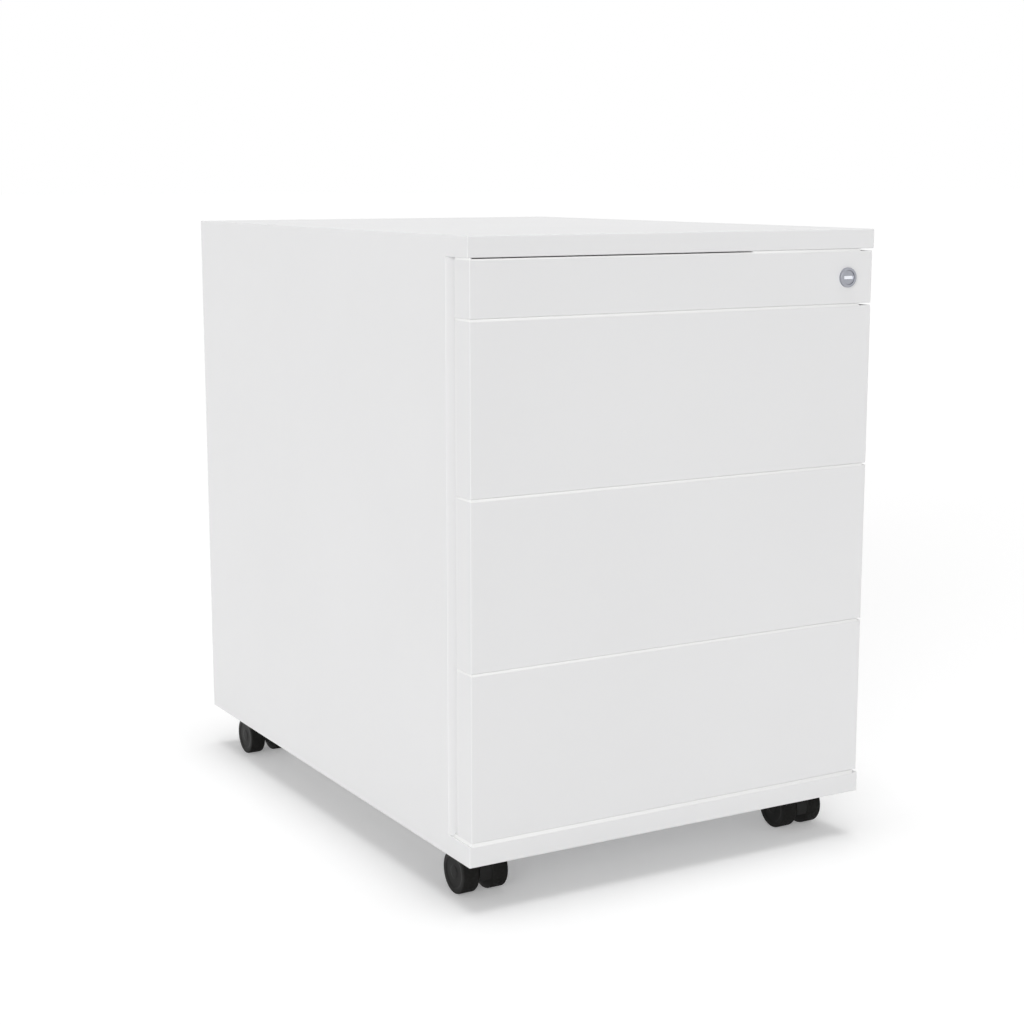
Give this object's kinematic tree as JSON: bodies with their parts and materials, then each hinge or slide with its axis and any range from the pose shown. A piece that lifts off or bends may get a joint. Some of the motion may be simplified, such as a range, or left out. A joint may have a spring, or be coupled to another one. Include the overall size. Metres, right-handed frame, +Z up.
{
  "type": "mobile drawer pedestal",
  "caption": "White steel drawer pedestal on twin-wheel castors: flat fronts gripped at their ends, a shallow pencil drawer above deeper ones, and a key lock.",
  "frame": {"origin": "middle of the pedestal's footprint, on the floor under the wheels", "axes": "+X to the right seen from the front, the drawer fronts face -Y, +Z up"},
  "size_m": [0.428, 0.603, 0.5835],
  "materials": {
    "white_coat": "fine matt powder coat",
    "inner_white_coat": "smooth matt powder coat",
    "zinc_steel": "bright zinc plate",
    "lock_nickel": "satin nickel plate",
    "black_moulding": "fine moulded grain",
    "castor_nylon": "satin moulded nylon"
  },
  "bodies": {
    "carcass": {"left_side_panel": "white_coat", "right_side_panel": "white_coat", "top_panel": "white_coat", "base_panel": "white_coat", "back_panel": "white_coat", "runner_posts": "inner_white_coat", "lock_bar_guides": "black_moulding", "lock_strike": "zinc_steel", "castor_rails": "zinc_steel", "castor_plates": "zinc_steel", "castor_screws": "zinc_steel", "lower_cabinet_rails": "zinc_steel", "middle_cabinet_rails": "zinc_steel", "upper_cabinet_rails": "zinc_steel", "pencil_cabinet_rails": "zinc_steel"},
    "lock_bar": {"lock_bar": "zinc_steel"},
    "lock_plug": {"lock_plug": "lock_nickel", "lock_cam": "zinc_steel"},
    "lower_drawer": {"lower_front_shell": "white_coat", "lower_front_liner": "inner_white_coat", "lower_drawer_box": "inner_white_coat", "lower_drawer_rails": "zinc_steel", "lower_drawer_screws": "zinc_steel"},
    "lower_ball_cages": {"lower_ball_cages": "zinc_steel"},
    "middle_drawer": {"middle_front_shell": "white_coat", "middle_front_liner": "inner_white_coat", "middle_drawer_box": "inner_white_coat", "middle_drawer_rails": "zinc_steel", "middle_drawer_screws": "zinc_steel"},
    "middle_ball_cages": {"middle_ball_cages": "zinc_steel"},
    "upper_drawer": {"upper_front_shell": "white_coat", "upper_front_liner": "inner_white_coat", "upper_drawer_box": "inner_white_coat", "upper_drawer_rails": "zinc_steel", "upper_drawer_screws": "zinc_steel"},
    "upper_ball_cages": {"upper_ball_cages": "zinc_steel"},
    "pencil_drawer": {"pencil_front_shell": "white_coat", "pencil_front_liner": "inner_white_coat", "pencil_tray": "black_moulding", "pencil_drawer_rails": "zinc_steel", "pencil_drawer_screws": "zinc_steel", "lock_housing": "lock_nickel", "lock_nut": "zinc_steel"},
    "pencil_ball_cages": {"pencil_ball_cages": "zinc_steel"},
    "front_left_castor": {"front_left_castor_body": "castor_nylon", "front_left_castor_axle": "zinc_steel"},
    "front_left_castor_left_wheel": {"front_left_castor_left_wheel": "castor_nylon"},
    "front_left_castor_right_wheel": {"front_left_castor_right_wheel": "castor_nylon"},
    "front_right_castor": {"front_right_castor_body": "castor_nylon", "front_right_castor_axle": "zinc_steel"},
    "front_right_castor_left_wheel": {"front_right_castor_left_wheel": "castor_nylon"},
    "front_right_castor_right_wheel": {"front_right_castor_right_wheel": "castor_nylon"},
    "rear_left_castor": {"rear_left_castor_body": "castor_nylon", "rear_left_castor_axle": "zinc_steel"},
    "rear_left_castor_left_wheel": {"rear_left_castor_left_wheel": "castor_nylon"},
    "rear_left_castor_right_wheel": {"rear_left_castor_right_wheel": "castor_nylon"},
    "rear_right_castor": {"rear_right_castor_body": "castor_nylon", "rear_right_castor_axle": "zinc_steel"},
    "rear_right_castor_left_wheel": {"rear_right_castor_left_wheel": "castor_nylon"},
    "rear_right_castor_right_wheel": {"rear_right_castor_right_wheel": "castor_nylon"}
  },
  "joints": [
    {"name": "lower_drawer_slide", "type": "slide", "parent": "carcass", "child": "lower_drawer", "axis": [0, -1, 0], "range_m": [0, 0.386]},
    {"name": "lower_ball_cage_slide", "type": "slide", "parent": "carcass", "child": "lower_ball_cages", "axis": [0, -1, 0], "range_m": [0, 0.193]},
    {"name": "middle_drawer_slide", "type": "slide", "parent": "carcass", "child": "middle_drawer", "axis": [0, -1, 0], "range_m": [0, 0.386]},
    {"name": "middle_ball_cage_slide", "type": "slide", "parent": "carcass", "child": "middle_ball_cages", "axis": [0, -1, 0], "range_m": [0, 0.193]},
    {"name": "upper_drawer_slide", "type": "slide", "parent": "carcass", "child": "upper_drawer", "axis": [0, -1, 0], "range_m": [0, 0.386]},
    {"name": "upper_ball_cage_slide", "type": "slide", "parent": "carcass", "child": "upper_ball_cages", "axis": [0, -1, 0], "range_m": [0, 0.193]},
    {"name": "pencil_drawer_slide", "type": "slide", "parent": "carcass", "child": "pencil_drawer", "axis": [0, -1, 0], "range_m": [0, 0.386]},
    {"name": "pencil_ball_cage_slide", "type": "slide", "parent": "carcass", "child": "pencil_ball_cages", "axis": [0, -1, 0], "range_m": [0, 0.193]},
    {"name": "lock_turn", "type": "hinge", "parent": "pencil_drawer", "child": "lock_plug", "pos_m": [0.183, -0.2985, 0.5395], "axis": [0, -1, 0], "range_deg": [0, 90]},
    {"name": "lock_bar_lift", "type": "slide", "parent": "carcass", "child": "lock_bar", "axis": [0, 0, 1], "range_m": [0, 0.0198]},
    {"name": "front_left_castor_swivel", "type": "hinge", "parent": "carcass", "child": "front_left_castor", "pos_m": [-0.1775, -0.2265, 0.052], "axis": [0, 0, 1], "continuous": true},
    {"name": "front_left_castor_left_wheel_spin", "type": "hinge", "parent": "front_left_castor", "child": "front_left_castor_left_wheel", "pos_m": [-0.1775, -0.2425, 0.02], "axis": [1, 0, 0], "continuous": true},
    {"name": "front_left_castor_right_wheel_spin", "type": "hinge", "parent": "front_left_castor", "child": "front_left_castor_right_wheel", "pos_m": [-0.1775, -0.2425, 0.02], "axis": [1, 0, 0], "continuous": true},
    {"name": "front_right_castor_swivel", "type": "hinge", "parent": "carcass", "child": "front_right_castor", "pos_m": [0.1775, -0.2265, 0.052], "axis": [0, 0, 1], "continuous": true},
    {"name": "front_right_castor_left_wheel_spin", "type": "hinge", "parent": "front_right_castor", "child": "front_right_castor_left_wheel", "pos_m": [0.1775, -0.2425, 0.02], "axis": [1, 0, 0], "continuous": true},
    {"name": "front_right_castor_right_wheel_spin", "type": "hinge", "parent": "front_right_castor", "child": "front_right_castor_right_wheel", "pos_m": [0.1775, -0.2425, 0.02], "axis": [1, 0, 0], "continuous": true},
    {"name": "rear_left_castor_swivel", "type": "hinge", "parent": "carcass", "child": "rear_left_castor", "pos_m": [-0.1775, 0.2615, 0.052], "axis": [0, 0, 1], "continuous": true},
    {"name": "rear_left_castor_left_wheel_spin", "type": "hinge", "parent": "rear_left_castor", "child": "rear_left_castor_left_wheel", "pos_m": [-0.1775, 0.2455, 0.02], "axis": [1, 0, 0], "continuous": true},
    {"name": "rear_left_castor_right_wheel_spin", "type": "hinge", "parent": "rear_left_castor", "child": "rear_left_castor_right_wheel", "pos_m": [-0.1775, 0.2455, 0.02], "axis": [1, 0, 0], "continuous": true},
    {"name": "rear_right_castor_swivel", "type": "hinge", "parent": "carcass", "child": "rear_right_castor", "pos_m": [0.1775, 0.2615, 0.052], "axis": [0, 0, 1], "continuous": true},
    {"name": "rear_right_castor_left_wheel_spin", "type": "hinge", "parent": "rear_right_castor", "child": "rear_right_castor_left_wheel", "pos_m": [0.1775, 0.2455, 0.02], "axis": [1, 0, 0], "continuous": true},
    {"name": "rear_right_castor_right_wheel_spin", "type": "hinge", "parent": "rear_right_castor", "child": "rear_right_castor_right_wheel", "pos_m": [0.1775, 0.2455, 0.02], "axis": [1, 0, 0], "continuous": true}
  ],
  "couplings": [
    {"joint": "lower_ball_cage_slide", "follows": "lower_drawer_slide", "ratio": 0.5},
    {"joint": "middle_ball_cage_slide", "follows": "middle_drawer_slide", "ratio": 0.5},
    {"joint": "upper_ball_cage_slide", "follows": "upper_drawer_slide", "ratio": 0.5},
    {"joint": "pencil_ball_cage_slide", "follows": "pencil_drawer_slide", "ratio": 0.5},
    {"joint": "lock_turn", "follows": "lock_bar_lift", "rad_per_m": 79.337}
  ]
}
